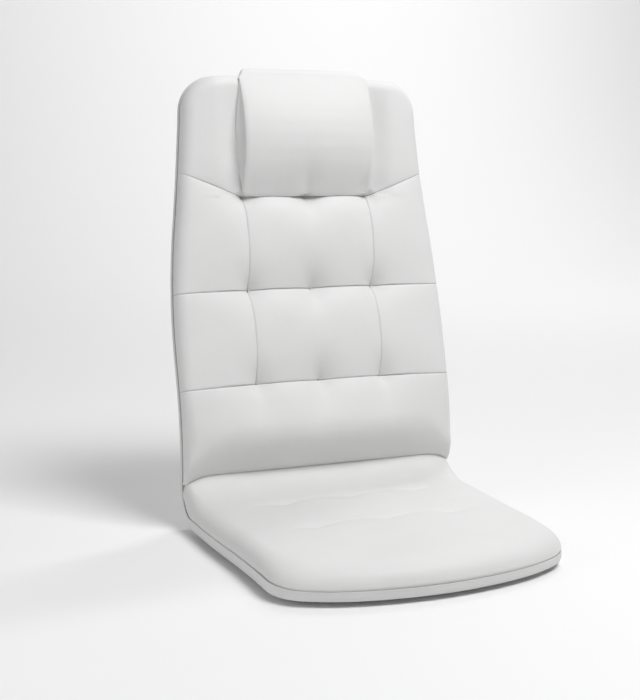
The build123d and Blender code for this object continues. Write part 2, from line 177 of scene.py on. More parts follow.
def arc_chain(at, heading, arcs):
    """Points along tangent arcs that follow each other, and the heading where the last one ends."""
    points = []
    for radius, turn in arcs:
        arc, heading = arc_points(at, heading, radius, turn)
        points.append(arc)
        at = arc[-1]
    return np.concatenate(points), heading


def outline_half():
    """The right half of the shell's outline, laid flat: x and length along the plywood."""
    corner, heading = arc_chain((0.0, FRONT_Y), 0.0, CORNER_ARCS)
    waist, _ = arc_chain(corner[-1] + [0, CORNER_STRAIGHT], heading, WAIST_ARCS)
    plan = np.concatenate([corner, waist]) + [0, SEAT_RUN]
    side, _ = arc_chain((HALF_WIDTH, UPRIGHT_Z[-1]), 90.0, BACK_ARCS)
    top_x, top_z = side[-1]
    crown = np.linspace(top_x, 0, CROWN_POINTS)
    rise = top_z + CROWN_RISE * (1 - (crown / top_x) ** 2)
    back = np.concatenate([side, np.stack([crown, rise], -1)])
    back = np.stack([back[:, 0], run_of_z(back[:, 1])], -1)
    upright = [[HALF_WIDTH, run_of_z(z)] for z in UPRIGHT_Z[:-1]]
    half = np.concatenate([plan, upright, back])
    keep = np.concatenate([[True], np.linalg.norm(np.diff(half, axis=0), axis=1) > 1e-6])
    return half[keep]


def lengths_along(line):
    """Each point's length along a line from its start."""
    return np.concatenate([[0], np.cumsum(np.linalg.norm(np.diff(line, axis=0), axis=1))])


HALF = outline_half()
HALF_AT = lengths_along(HALF)
ARC, CROWN_START = ARC_POINTS - 1, len(HALF) - CROWN_POINTS
SEAT_CORNER_AT = HALF_AT[2 * ARC] + 0.55 * (HALF_AT[3 * ARC] - HALF_AT[2 * ARC])
TOP_CORNER_AT = HALF_AT[CROWN_START - ARC] + 0.5 * (HALF_AT[CROWN_START] - HALF_AT[CROWN_START - ARC])


def point_on(line, at, length):
    """Points at lengths along a line, whose own points lie at the lengths in at."""
    return np.stack([np.interp(length, at, line[:, 0]), np.interp(length, at, line[:, 1])], -1)


def half_point(length):
    return point_on(HALF, HALF_AT, length)


def length_at_run(run):
    """Length along the outline's side where it passes a run."""
    side = (HALF_AT > SEAT_CORNER_AT) & (HALF_AT < TOP_CORNER_AT)
    return np.interp(run, HALF[side, 1], HALF_AT[side])


def mirrored(points, u):
    """Points of the right half, put on the left where u is negative."""
    return points * np.stack([np.sign(u + 1e-12), np.ones_like(u)], -1)


def line_distance(line, x, along):
    """How far points are from a line of the right half or from its mirror image."""
    points = np.stack([np.abs(x).ravel(), along.ravel()], -1)
    best = np.full(len(points), 1e9)
    for a, b in zip(line[:-1], line[1:]):
        ab = b - a
        t = np.clip(((points - a) @ ab) / (ab @ ab), 0, 1)
        gap = np.hypot(points[:, 0] - a[0] - t * ab[0], points[:, 1] - a[1] - t * ab[1])
        best = np.minimum(best, gap)
    return best.reshape(x.shape)


# ---- grids ----
def crowded(count, start, end):
    """0 to 1 in count steps, closer together at an end where the weight is over 0."""
    t = np.linspace(0, 1, count + 1)
    pace = 1.0 / (1 + start * np.exp(-t / 0.035) + end * np.exp(-(1 - t) / 0.035))
    total = np.concatenate([[0], np.cumsum((pace[1:] + pace[:-1]) / 2)])
    return total / total[-1]


def coons(bottom, top, left, right, u, v):
    """A grid between four curves: bottom and top at u, left and right at v."""
    u, v = u[None, :, None], v[:, None, None]
    bottom, top = bottom[None], top[None]
    left, right = left[:, None], right[:, None]
    flat = (1 - u) * (1 - v) * bottom[:, :1] + u * (1 - v) * bottom[:, -1:]
    flat = flat + (1 - u) * v * top[:, :1] + u * v * top[:, -1:]
    return (1 - v) * bottom + v * top + (1 - u) * left + u * right - flat


def rim_loop(nv, nu):
    """The grid's outermost points in order, as row and column numbers."""
    rows = [0] * nu + list(range(1, nv)) + [nv - 1] * (nu - 1) + list(range(nv - 2, 0, -1))
    cols = list(range(nu)) + [nu - 1] * (nv - 1) + list(range(nu - 2, -1, -1)) + [0] * (nv - 2)
    return np.array(rows), np.array(cols)


def grid_quads(nv, nu):
    """The points' numbers in a grid, and those of its quads' corners."""
    index = np.arange(nv * nu).reshape(nv, nu)
    return index, np.stack([index[:-1, :-1], index[:-1, 1:], index[1:, 1:], index[1:, :-1]], -1)


def grid_mesh(name, points, near=None, rings=(), close=True, drop=None):
    """A mesh of a grid of points in mm, with rings added round its rim, closed behind by strips.

    near is how near a seam the points are, in mm, first the grid's and then, if it goes on, the rings'; the
    leather paints shade where it is small.
    Quads whose four points are all in drop are left out.
    """
    nv, nu = points.shape[:2]
    index, quads = grid_quads(nv, nu)
    if drop is not None:
        gone = drop[:-1, :-1] & drop[:-1, 1:] & drop[1:, 1:] & drop[1:, :-1]
        quads = quads[~gone]
    faces = quads.reshape(-1, 4).tolist()
    rows, cols = rim_loop(nv, nu)
    loop = index[rows, cols]
    cloud = [points.reshape(-1, 3)]
    total = nv * nu
    for ring in rings:
        new = np.arange(total, total + len(loop))
        for a, b, c, d in zip(loop, np.roll(loop, -1), np.roll(new, -1), new):
            faces.append([int(b), int(a), int(d), int(c)])
        cloud.append(ring)
        loop = new
        total += len(loop)
    if close:
        rim = np.full((nv, nu), -1)
        rim[rows, cols] = loop
        for j in range(nv - 1):
            faces.append([int(rim[j, 0]), int(rim[j + 1, 0]), int(rim[j + 1, -1]), int(rim[j, -1])])
        faces.append([int(i) for i in rim[0]])
        faces.append([int(i) for i in rim[-1, ::-1]])
    mesh = bpy.data.meshes.new(name)
    mesh.from_pydata((np.concatenate(cloud) * MM).tolist(), [], faces)
    near_seam = np.full(total, FAR)
    if near is not None:
        near_seam[: near.size] = near.ravel()
    # near_seam sets where the leather paints shade in seams and recesses
    layer = mesh.attributes.new("near_seam", "FLOAT", "POINT")
    layer.data.foreach_set("value", near_seam.astype(np.float32))
    mesh.polygons.foreach_set("use_smooth", [True] * len(mesh.polygons))
    if close:
        rim = {int(i) for i in loop}
        sharp = [e.vertices[0] in rim and e.vertices[1] in rim for e in mesh.edges]
        layer = mesh.attributes.get("sharp_edge") or mesh.attributes.new("sharp_edge", "BOOLEAN", "EDGE")
        layer.data.foreach_set("value", sharp)
    mesh.update()
    loose = bmesh.new()
    loose.from_mesh(mesh)
    bmesh.ops.delete(loose, geom=[v for v in loose.verts if not v.link_faces], context="VERTS")
    bmesh.ops.remove_doubles(loose, verts=loose.verts, dist=1e-6)
    if close:
        bmesh.ops.recalc_face_normals(loose, faces=loose.faces)
    loose.to_mesh(mesh)
    loose.free()
    return add_object(name, mesh)


def thicken(obj, depth):
    """Give an open skin a thickness in mm, inwards, so that it is closed."""
    solid = obj.modifiers.new("thickness", "SOLIDIFY")
    solid.thickness, solid.offset = depth * MM, -1
    done = bpy.data.meshes.new_from_object(obj.evaluated_get(bpy.context.evaluated_depsgraph_get()))
    obj.modifiers.clear()
    obj.data = done


def even_steps(ends, sizes):
    """Whole numbers through the given ends, in about the given number of steps between each two."""
    parts = [np.round(np.linspace(a, b, n + 1)).astype(int) for a, b, n in zip(ends[:-1], ends[1:], sizes)]
    return np.unique(np.concatenate(parts))


CLOTH_PRESSURE, CLOTH_GROWTH, CLOTH_BENDING, CLOTH_FRAMES = 2.0, 0.002, 6.0, 20
CLOTH_REACH = 2.5  # mm, the furthest that cloth moves a point
CLOTH_COLUMNS = (14, 26, 14)  # the coarse copy's columns in a cushion's sides and middle


def rim_held(x):
    """How firmly a grid's points are held where only its rim is sewn: 1 there and 0 elsewhere."""
    held = np.zeros_like(x)
    held[[0, -1]] = held[:, [0, -1]] = 1
    return held


def settle(points, rows, cols, held, free):
    """Run cloth over a coarse copy of a grid in mm, and give the grid the swell and folds that it takes.

    held is 1 where the leather is sewn or tied down, free is how much of the result a point takes.
    """
    start = points[np.ix_(rows, cols)] * MM
    nv, nu = start.shape[:2]
    quads = grid_quads(nv, nu)[1].reshape(-1, 4).tolist()
    data = bpy.data.meshes.new("cloth")
    data.from_pydata(start.reshape(-1, 3).tolist(), [], quads)
    obj = add_object("cloth", data)
    pins = obj.vertex_groups.new(name="pins")
    for number, weight in enumerate(held[np.ix_(rows, cols)].ravel()):
        pins.add([number], float(weight), "REPLACE")
    cloth = obj.modifiers.new("cloth", "CLOTH")
    settings = cloth.settings
    settings.quality, settings.mass = 6, 0.25
    settings.tension_stiffness = settings.compression_stiffness = 30
    settings.shear_stiffness, settings.bending_stiffness = 20, CLOTH_BENDING
    settings.air_damping = 4
    settings.vertex_group_mass = "pins"
    settings.use_pressure, settings.uniform_pressure_force = True, CLOTH_PRESSURE
    settings.shrink_min = -CLOTH_GROWTH
    settings.effector_weights.gravity = 0
    cloth.collision_settings.use_collision = False
    cloth.point_cache.frame_start, cloth.point_cache.frame_end = 1, CLOTH_FRAMES
    scene = bpy.context.scene
    for number in range(1, CLOTH_FRAMES + 1):
        scene.frame_set(number)
    made = obj.evaluated_get(bpy.context.evaluated_depsgraph_get()).data
    flat = np.empty(len(made.vertices) * 3)
    made.vertices.foreach_get("co", flat)
    moved = (flat.reshape(nv, nu, 3) - start) / MM
    bpy.data.objects.remove(obj)
    scene.frame_set(1)
    size = np.linalg.norm(moved, axis=-1, keepdims=True)
    moved = moved * (CLOTH_REACH * np.tanh(size / CLOTH_REACH) / np.maximum(size, 1e-9))
    for _ in range(2):
        moved[1:-1] = (moved[:-2] + 2 * moved[1:-1] + moved[2:]) / 4
        moved[:, 1:-1] = (moved[:, :-2] + 2 * moved[:, 1:-1] + moved[:, 2:]) / 4
    for axis, at in ((0, rows), (1, cols)):
        fine = np.arange(points.shape[axis])
        moved = np.apply_along_axis(lambda line: np.interp(fine, at, line), axis, moved)
    return points + moved * free[..., None]


def roll(distance, radius, power=2.0):
    """0 at an edge, 1 from radius inwards, along a quarter of a superellipse."""
    t = np.clip(distance / radius, 0, 1)
    return (1 - (1 - t) ** power) ** (1 / power)


def smooth(low, high, value):
    t = np.clip((value - low) / (high - low), 0, 1)
    return t * t * (3 - 2 * t)


def bell(value, width, power=2.0):
    return np.exp(-np.abs(value / width) ** power)


SPINE_ENDS = (SEAT_RUN - 120, 600)  # runs between which points are drawn straight to the middle line
TUCK_DEEP, TUCK_GAP = 2.2, 0.5  # how far the cushions draw in below the outer cover's lip, and above it


def inwards(x, run):
    """Unit steps towards the shell's spine, laid flat."""
    side = np.stack([x, run - np.clip(run, *SPINE_ENDS)], -1)
    return -side / np.maximum(np.linalg.norm(side, axis=-1, keepdims=True), 1e-6)


def lip_height(run):
    """How far the outer cover's edge stands up beside the cushions."""
    y = run - SEAT_RUN
    return 0.8 + 4.2 * smooth(-225, -140, y) * (1 - smooth(150, 215, y))


def tucked(x, run, height):
    """Cushion points below the outer cover's lip drawn in, so that a groove parts the two."""
    lip = lip_height(run)
    step = TUCK_GAP + TUCK_DEEP * (1 - smooth(lip - 0.5, lip + 2.5, height))
    way = inwards(x, run)
    return x + way[..., 0] * step, run + way[..., 1] * step


# ---- back cushion ----
TUFT_X, ROW_Z = 116.0, (233.0, 389.0, 547.0)
TUFTS_ACROSS = (-TUFT_X, 0.0, TUFT_X)
TOP_ROW = 2
CREASE_Y, CREASE_Z, FOOT_BELOW, BACK_TOP_Z = 212.0, 90, 26.0, 775.0
SEAM_CLIMB, SEAM_SPAN = 41, 107  # rise of the top seam beyond its tufts, and the width that it takes
U_SEAM = 0.44  # where the upright seams stand among columns that go from -1 to 1
SIDE_COLUMNS, PANEL_COLUMNS, BACK_ROWS = 56, 84, (54, 64, 64, 92)
BACK_CROWDING = ((3, 5), (5, 5), (5, 5), (5, 12))  # how much closer a patch's rows are at its ends


def crease_z(x):
    """Height of the line where seat and back cushions meet."""
    return CREASE_Z - 12 * (np.clip(np.abs(x) - 203, 0, None) / 46) ** 2


def seam_z(row, x):
    """Height of a row's seam, which climbs to the edges above the top row of tufts."""
    out = np.clip(np.abs(x) - TUFT_X, 0, None)
    if row == TOP_ROW:
        return ROW_Z[row] + SEAM_CLIMB * (out / SEAM_SPAN) ** 1.06 + 1.2 * np.exp(-out / 12) - 1.2
    return ROW_Z[row] - (3 if row == 1 else 4) * out / 132


def columns(side_count, panel_count):
    """Where the grid's columns stand from -1 to 1, closer at the edges and at the upright seams."""
    side = crowded(side_count, 9, 2.5)
    panel = crowded(panel_count, 2.5, 2.5)
    left = -1 + side * (1 - U_SEAM)
    middle = -U_SEAM + panel * 2 * U_SEAM
    return np.concatenate([left, middle[1:], -left[::-1][1:]])


U = columns(SIDE_COLUMNS, PANEL_COLUMNS)


def spread(u, half_width):
    """x for a column where the panel is half_width wide from the middle."""
    inner = TUFT_X * u / U_SEAM
    outer = np.sign(u) * (TUFT_X + (np.abs(u) - U_SEAM) / (1 - U_SEAM) * (half_width - TUFT_X))
    return np.where(np.abs(u) <= U_SEAM, inner, outer)


def seam_curve(row):
    """A row's seam laid flat, at the grid's columns."""
    guess = spread(U, HALF_WIDTH)
    for _ in range(12):
        run_edge = run_of_z(seam_z(row, np.abs(guess[-1:])))
        edge = half_point(length_at_run(run_edge))[0, 0]
        guess = spread(U, edge)
    return np.stack([guess, run_of_z(seam_z(row, guess))], -1)


def side_curve(low_length, high_length, v):
    """The outline's left and right sides between two lengths along it."""
    right = half_point(low_length + (high_length - low_length) * v)
    left = right * np.array([-1, 1])
    return left, right


def back_top():
    """The outline's top edge at the grid's columns, with the tufts' lanes kept straight."""
    crown = slice(CROWN_START - ARC_POINTS, None)
    crown_x, crown_at = HALF[crown, 0][::-1], HALF_AT[crown][::-1]
    inner = np.interp(TUFT_X * np.abs(U) / U_SEAM, crown_x, crown_at)
    lane_end = np.interp(TUFT_X, crown_x, crown_at)
    outer = TOP_CORNER_AT + (lane_end - TOP_CORNER_AT) * (1 - np.abs(U)) / (1 - U_SEAM)
    return mirrored(half_point(np.where(np.abs(U) <= U_SEAM, inner, outer)), U)


def back_grid():
    """The back cushion's grid laid flat, in four patches whose edges are the seams."""
    foot = np.stack([spread(U, HALF_WIDTH), np.zeros_like(U)], -1)
    foot[:, 1] = run_of_z(crease_z(foot[:, 0]) - FOOT_BELOW)
    rows = [foot] + [seam_curve(row) for row in range(len(ROW_Z))] + [back_top()]
    parts = []
    for k, count in enumerate(BACK_ROWS):
        v = crowded(count, *BACK_CROWDING[k])
        low = length_at_run(rows[k][-1:, 1])[0]
        high = TOP_CORNER_AT if k == len(ROW_Z) else length_at_run(rows[k + 1][-1:, 1])[0]
        left, right = side_curve(low, high, v)
        patch = coons(rows[k], rows[k + 1], left, right, (U + 1) / 2, v)
        parts.append(patch if k == 0 else patch[1:])
    return np.concatenate(parts)


def arch(t, peak=0.38):
    """A panel's profile from its upper seam (0) down to its lower one (1): quick up, slow down."""
    rise = np.clip(1 - (1 - t / peak) ** 2, 0, 1) ** 0.72
    fall = 1 - np.clip((t - peak) / (1 - peak), 0, 1) ** 2.3
    return np.where(t < peak, rise, fall)


def half_width_at(z):
    """About half the back's width at a height."""
    heights = [80, 290, 385, 479, 539, 589, 661, 700, 760]
    return np.interp(z, heights, [250, 250, 247, 238, 231, 226, 220, 217, 216])


def panel_height(x, z):
    """Gap of the four panels' leather from the plywood's face, lowest at the seams between them."""
    across = np.clip(np.abs(x) / half_width_at(z), 0, 1)
    foot = crease_z(x) - FOOT_BELOW
    lines = [foot] + [seam_z(row, x) for row in range(len(ROW_Z))] + [np.full_like(x, BACK_TOP_Z)]
    full = 25.5 + 13.0 * (1 - across**2.4)
    seam_level = full - 17.0 * (1 - 0.93 * across**1.3)
    height = np.zeros_like(x)
    for k, (low_line, high_line) in enumerate(zip(lines[:-1], lines[1:])):
        lowest, highest = k == 0, k == len(ROW_Z)
        inside = (z >= low_line) & (z <= high_line + (50 if highest else 0))
        t = np.clip((high_line - z) / (high_line - low_line), 0, 1)
        if lowest:
            rise = np.where(t < 0.4, np.clip(1 - (1 - t / 0.4) ** 2, 0, 1) ** 0.7, 1)
            bulge = 9.5 * bell(z - 152, 38) * (1 - across**3)
            level = seam_level + (full + bulge - seam_level) * rise
            low = 5.5 + 4.5 * smooth(0.86, 1, across)
            turn_in = roll(z - crease_z(x) + 3, 80 - 44 * smooth(0.7, 1, across), 1.55)
            value = low + (level - low) * turn_in
        elif highest:
            shape = np.clip(1 - ((z - low_line) / 46 - 1) ** 2, 0, 1) ** 0.6
            value = seam_level + (full - seam_level) * np.where(z - low_line < 46, shape, 1)
        else:
            value = seam_level + (full + (1.0 if k == 2 else 0.0) - seam_level) * arch(t)
        height = np.where(inside, value, height)
    return height


def dimpled(height, x, z):
    """Heights with a hollow round each tuft, which reaches further below the tuft than above it."""
    for row_z in ROW_Z:
        rise = z - row_z
        tall = np.where(rise > 0, 33.0, 48.0)
        broad = np.where(rise > 0, 25.0, 30.0)
        fade = 1 - 0.34 * smooth(0, 26, -rise)
        for tuft_x in TUFTS_ACROSS:
            reach = np.hypot((x - tuft_x) / broad, rise / tall)
            depth = (18.0 if tuft_x else 17.0) * fade
            height = height - depth * np.exp(-(reach**1.3) * 1.25)
    return height


def back_height(x, run):
    """Gap of the back cushion's leather from the plywood's face, and how near a seam it is."""
    z = z_of_run(run)
    height = dimpled(panel_height(x, z), x, z)
    # how near a seam each point is, which sets the painted shade along the seam grooves; the top row's seam,
    # where it climbs to the edges, gets fainter painted shade
    near = np.full_like(x, FAR)
    for row in range(len(ROW_Z)):
        top_row = row == TOP_ROW
        slope = SEAM_CLIMB / SEAM_SPAN * smooth(TUFT_X - 2, TUFT_X + 4, np.abs(x)) if top_row else 0
        faint = 1 + 2.2 * smooth(TUFT_X, TUFT_X + 30, np.abs(x)) if top_row else 1
        near = np.minimum(near, np.abs(z - seam_z(row, x)) / np.hypot(1, slope) * faint)
    upright = np.abs(np.abs(x) - TUFT_X)
    low, high = ROW_Z[0], ROW_Z[-1]
    valley = smooth(low, low + 25, z) * (1 - smooth(high - 25, high, z))
    height = height - 1.9 * bell(upright, 9, 1.4) * valley
    near = np.where((z > low) & (z < high), np.minimum(near, upright), near)
    under_pillow = smooth(high - 1, high + 2, z) * (1 - smooth(122, 168, np.abs(x)))
    seat_for_pillow = 18.5 + 7.1 * smooth(high, high + 52, z)
    height = height + (np.minimum(height, seat_for_pillow) - height) * under_pillow
    return height, near


def make_back_cushion():
    flat = back_grid()
    x, run = flat[..., 0], flat[..., 1]
    height, near = back_height(x, run)
    z = z_of_run(run)
    distance = line_distance(HALF, x, run)
    distance[:, 0] = distance[:, -1] = 0
    distance[-1] = 0
    height = height * roll(distance, 21.0 - 11 * (1 - smooth(105, 150, z)), 2.35)
    height = np.maximum(height - 1.5 * bell(near, 0.9) * smooth(0, 6, distance), 0)
    tuck_x, tuck_run = tucked(x, run, height)
    foot = 1 - smooth(2, 12, z - crease_z(x) + FOOT_BELOW)
    tuck_run = tuck_run + (run - tuck_run) * foot
    points = at_run(tuck_run, tuck_x, height + 0.4)
    row_ends = np.cumsum([0] + list(BACK_ROWS))
    column_ends = [0, SIDE_COLUMNS, SIDE_COLUMNS + PANEL_COLUMNS, len(U) - 1]
    held = rim_held(x)
    held[row_ends[1:4]] = 1
    held[row_ends[1] : row_ends[3], column_ends[1:3]] = 0.9
    free = smooth(100, 150, z) * smooth(3, 24, distance)
    free = free * (1 - smooth(530, 547, z) * (1 - smooth(124, 175, np.abs(x))))
    rows = even_steps(row_ends, (14, 18, 18, 20))
    cols = even_steps(column_ends, CLOTH_COLUMNS)
    points = settle(points, rows, cols, held, free)
    body = grid_mesh("back_cushion", points, near)
    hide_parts("back_cushion_cover", "back_foam")
    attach(body, "chair_body")
    return body


# ---- seat cushion ----
SEAT_ROW_Y = (92.0, -47.0)
SEAT_SIDE_COLUMNS, SEAT_PANEL_COLUMNS, SEAT_ROWS = 48, 78, 230
SIDE_SHARE, TAIL_SHARE = 0.9, 0.1  # of the rows, before and behind the start of the plywood's bend
TURN_DOWN = ((2.0, 0.6), (4.0, 2.4), (5.0, 6.0), (5.4, 12.0))  # steps back and down behind the crease


def seat_top(x, y):
    """Height of the seat's leather above the board's underside, away from its edges."""
    across = np.clip(np.abs(x) / 245, 0, 1)
    crown = 54 + 10 * (1 - across**2.4)
    crown = crown - 5 * (1 - smooth(FRONT_Y, -120, y))
    climb = np.clip((y - 128) / (CREASE_Y - 128), 0, 1)
    return crown + (crease_z(x) - crown) * climb**2.1


def seat_grid():
    """The seat cushion's grid in plan: x, y, and each point's distance from the cushion's edge."""
    u = columns(SEAT_SIDE_COLUMNS, SEAT_PANEL_COLUMNS)
    v = crowded(SEAT_ROWS, 16, 6)
    front = mirrored(half_point(SEAT_CORNER_AT * np.abs(u)), u)
    front[:, 1] -= SEAT_RUN
    bend_start = length_at_run(np.array([SEAT_RUN + BEND_Y]))[0]
    right = half_point(SEAT_CORNER_AT + (bend_start - SEAT_CORNER_AT) * np.clip(v / SIDE_SHARE, 0, 1))
    right[:, 1] -= SEAT_RUN
    right[:, 1] += np.clip((v - SIDE_SHARE) / TAIL_SHARE, 0, 1) * (CREASE_Y - BEND_Y)
    rear = np.stack([spread(u, right[-1, 0]), np.full_like(u, CREASE_Y)], -1)
    flat = coons(front, rear, right * np.array([-1, 1]), right, (u + 1) / 2, v)
    x, y = flat[..., 0], flat[..., 1]
    distance = line_distance(HALF, x, np.minimum(y, BEND_Y) + SEAT_RUN)
    side_gap = np.where(y > BEND_Y - 30, right[-1, 0] - np.abs(x), 1e9)
    distance = np.where(y > BEND_Y, np.minimum(distance, side_gap), distance)
    distance[:, 0] = distance[:, -1] = 0
    distance[0] = 0
    return x, y, distance


def quilted(top, x, y):
    """Heights drawn down along two scalloped rows, and at the tufts in them."""
    for row_y in SEAT_ROW_Y:
        scallop = np.abs(np.sin(math.pi * x / TUFT_X)) ** 0.75
        line = y - row_y - 6.5 * scallop + 1.5
        fade = 1 - smooth(140, 185, np.abs(x))
        strong = 0.45 + 0.55 * bell(np.mod(x + 0.5 * TUFT_X, TUFT_X) / TUFT_X - 0.62, 0.22)
        top = top - (2.1 * bell(line, 7, 1.5) + 0.8 * bell(line, 1.3)) * fade * strong
        for tuft_x in TUFTS_ACROSS:
            reach = np.hypot((x - tuft_x) / 20, (y - row_y) / 15)
            top = top - 2.8 * np.exp(-(reach**1.5))
    return top


def make_seat_cushion():
    x, y, distance = seat_grid()
    bend = np.sqrt(np.clip(BEND_R**2 - np.clip(y - BEND_Y, 0, 49.5) ** 2, 0, None))
    base = PLY_Z + BEND_R - bend + 0.5
    wide = 27 + 25 * (1 - smooth(-220, -90, y)) - 15 * smooth(120, 212, y)
    z = base + (quilted(seat_top(x, y), x, y) - base) * roll(distance, wide, 2.35)
    tuck_x, tuck_run = tucked(x, np.minimum(y, BEND_Y) + SEAT_RUN, z - base)
    points = np.stack([tuck_x, y + tuck_run - np.minimum(y, BEND_Y) - SEAT_RUN, z], -1)
    held = rim_held(x)
    for row_y in SEAT_ROW_Y:
        held = np.maximum(held, 0.8 * bell(y - row_y - 4, 4) * (np.abs(x) < 150))
    free = 0.35 * smooth(3, 30, distance) * (1 - smooth(140, 190, y))
    panel_end = SEAT_SIDE_COLUMNS + SEAT_PANEL_COLUMNS
    cols = even_steps([0, SEAT_SIDE_COLUMNS, panel_end, panel_end + SEAT_SIDE_COLUMNS], CLOTH_COLUMNS)
    points = settle(points, even_steps([0, SEAT_ROWS], (58,)), cols, held, free)
    behind = []
    for back, down in TURN_DOWN:
        row = points[-1].copy()
        row[:, 1] += back + 3.2 * smooth(222, 242, np.abs(row[:, 0])) * min(back / 4, 1)
        row[:, 2] = np.maximum(row[:, 2] - down, base[-1])
        behind.append(row)
    body = grid_mesh("seat_cushion", np.concatenate([points, np.stack(behind)]))
    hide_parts("seat_cushion_cover", "seat_foam")
    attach(body, "chair_body")
    return body


# ---- outer cover ----
REAR_ZIP_RUN, REAR_ZIP_HALF = 62.0, 208.0
COVER_DEPTH, COVER_SKIN, COVER_SEAM = 14.2, 0.5, 13.0
BOARD_HIDES = (146, 181)  # half width and half depth of what the seat board covers
COVER_COLUMNS, COVER_ROWS = 52, 400
# steps inwards from the rim, with the share of the lip's height and a gap added to it
LIP = (
    (-0.1, 0.4, 0), (0.0, 0.75, 0), (0.35, 0.95, 0), (0.9, 1, 0), (1.5, 0.9, 0), (1.9, 0.5, 0), (2.1, 0, 0.1)
)


def zip_slot(x, up, half_length):
    """1 in the slot of a zip that runs along x, and 0 away from it."""
    return (1 - smooth(3.1, 3.9, np.abs(up))) * (1 - smooth(half_length - 0.5, half_length + 0.5, np.abs(x)))


def zip_rows(v):
    """Rows for the outer cover, with more of them where its zip's slot is."""
    at = (length_at_run(np.array([REAR_ZIP_RUN]))[0] - SEAT_CORNER_AT) / (TOP_CORNER_AT - SEAT_CORNER_AT)
    step = 0.5 / (TOP_CORNER_AT - SEAT_CORNER_AT)
    near = at + np.arange(-14, 15) * step
    return np.concatenate([v[v < near[0] - step], near, v[v > near[-1] + step]])


def make_outer_cover():
    """Leather over the shell's edges, rear and underside, as one skin with the band round its rim."""
    u = np.concatenate([-1 + crowded(COVER_COLUMNS, 22, 0), crowded(COVER_COLUMNS, 0, 22)[1:]])
    front = mirrored(half_point(SEAT_CORNER_AT * np.abs(u)), u)
    top_length = TOP_CORNER_AT + (HALF_AT[-1] - TOP_CORNER_AT) * (1 - np.abs(u))
    top = mirrored(half_point(top_length), u)
    v = zip_rows(crowded(COVER_ROWS, 20, 26))
    left, right = side_curve(SEAT_CORNER_AT, TOP_CORNER_AT, v)
    flat = coons(front, top, left, right, (u + 1) / 2, v)
    level = bell(right[:, 1] - REAR_ZIP_RUN, 130)[:, None]
    x, run = flat[..., 0], flat[..., 1] + (right[:, 1:] - flat[..., 1]) * level
    distance = line_distance(HALF, x, run)
    distance[:, 0] = distance[:, -1] = 0
    distance[0] = distance[-1] = 0
    seam = np.abs(distance - COVER_SEAM)
    depth = COVER_DEPTH * roll(distance, 4.6, 2.6) - 0.7 * bell(seam, 1.4)
    depth = depth - 2.3 * zip_slot(x, run - REAR_ZIP_RUN, REAR_ZIP_HALF)
    points = at_run(run, x, -depth)
    board = (np.abs(x) < BOARD_HIDES[0]) & (np.abs(run - SEAT_RUN) < BOARD_HIDES[1])
    rows, cols = rim_loop(*x.shape)
    rim_x, rim_run = x[:, ::-1][rows, cols], run[:, ::-1][rows, cols]
    way, lip = inwards(rim_x, rim_run), lip_height(rim_run)
    rings = []
    for inset, share, gap in LIP:
        rings.append(at_run(rim_run + way[:, 1] * inset, rim_x + way[:, 0] * inset, lip * share + gap))
    # painted shade along the seam groove, spread wider by shrinking the distance
    near = 0.65 * seam[:, ::-1]
    body = grid_mesh("outer_cover_skin", points[:, ::-1], near, rings, close=False, drop=board[:, ::-1])
    thicken(body, COVER_SKIN)
    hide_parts("outer_cover", "rear_foam")
    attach(body, "chair_body")
    return body


# ---- headrest pillow ----
PILLOW_HALF_W, PILLOW_LOW_Z, PILLOW_HIGH_Z = 118.0, 546.5, 753.5
PILLOW_COLUMNS, PILLOW_ROWS = 88, 84
# hollows at the foot: x, the share of the thickness that they take, half width and height
FOOT_HOLLOWS = ((0.0, 0.62, 15.0, 30.0), (-106.0, 0.25, 12.0, 18.0), (104.0, 0.5, 13.0, 24.0))
# rings round the pillow's side, from front to rear: share of its depth, way out, and gap added beside
PILLOW_SIDE = (
    (0.03, 0.2, 0), (0.055, -0.8, 0), (0.09, -6.5, 0), (0.16, -9.5, 0), (0.28, -8.5, 0), (0.42, -5.0, 0),
    (0.6, -0.8, 0), (0.78, 3.4, -0.3), (0.92, 7.4, -1.4), (1.0, 10.5, -3.0), (1.0, 6.0, -2.4),
    (1.0, -0.6, -0.4),
)
# side rings in the undercut below the pillow's rim, which get painted shade through near_seam
PILLOW_UNDERCUT_SHADE_RINGS = (2, 3, 4)


def rounded_loop(half_w, low, high, low_r, high_r, count=16):
    """The right half of a rounded rectangle, from the middle of its foot to the middle of its head.

    With it come its points' lengths along it, and the lengths at the middle of its two corners.
    """
    turn = np.linspace(0, math.pi / 2, count)
    foot = np.stack([half_w - low_r + low_r * np.sin(turn), low + low_r - low_r * np.cos(turn)], -1)
    head = np.stack([half_w - high_r + high_r * np.cos(turn), high - high_r + high_r * np.sin(turn)], -1)
    half = np.concatenate([[[0, low]], foot, head, [[0, high]]])
    at = lengths_along(half)
    foot_turn = (at[1] + at[count]) / 2
    head_turn = (at[1 + count] + at[2 * count]) / 2
    return half, at, foot_turn, head_turn


def rounded_grid(half_w, low, high, low_r, high_r, u, v):
    """A grid that fills a rounded rectangle, and each point's distance from its rim."""
    half, at, foot_turn, head_turn = rounded_loop(half_w, low, high, low_r, high_r)
    foot = mirrored(point_on(half, at, foot_turn * np.abs(u)), u)
    head = mirrored(point_on(half, at, at[-1] - (at[-1] - head_turn) * np.abs(u)), u)
    right = point_on(half, at, foot_turn + (head_turn - foot_turn) * v)
    flat = coons(foot, head, right * np.array([-1, 1]), right, (u + 1) / 2, v)
    x, z = flat[..., 0], flat[..., 1]
    distance = line_distance(half, x, z)
    distance[:, 0] = distance[:, -1] = 0
    distance[0] = distance[-1] = 0
    return x, z, distance


